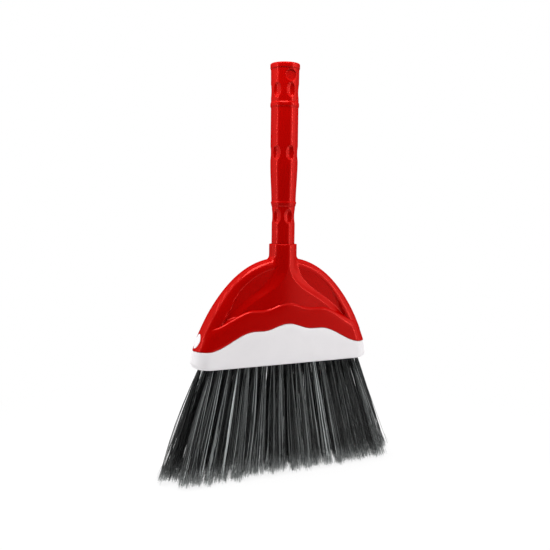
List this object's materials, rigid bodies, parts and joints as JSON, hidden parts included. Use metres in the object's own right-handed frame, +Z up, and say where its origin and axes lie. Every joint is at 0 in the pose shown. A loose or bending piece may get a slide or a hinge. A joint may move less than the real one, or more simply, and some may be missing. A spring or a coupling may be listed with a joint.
{
  "type": "hand broom",
  "caption": "Short-handled broom: a round dimpled handle plugs into a fan-shaped hood, which snaps over a wavy-edged brush block with flared bristles.",
  "frame": {"origin": "on the plane of the bristle tips, below the handle's axis", "axes": "+Z up along the handle's axis, -Y towards the front of the hood, X from side to side along the brush block"},
  "size_m": [0.256, 0.0466, 0.4029],
  "materials": {
    "red_plastic": "glossy injection-moulded polypropylene",
    "white_plastic": "satin injection-moulded polypropylene",
    "bristle": "extruded filament with split tips"
  },
  "bodies": {
    "head": {"hood": "red_plastic", "brush_block": "white_plastic", "tuft_row_front": "bristle", "tuft_row_middle": "bristle", "tuft_row_back": "bristle"},
    "handle": {"handle": "red_plastic", "handle_end_cap": "red_plastic"}
  },
  "joints": [
    {"name": "handle_pull", "type": "slide", "parent": "head", "child": "handle", "axis": [0, 0, 1], "range_m": [0, 0.055]}
  ]
}
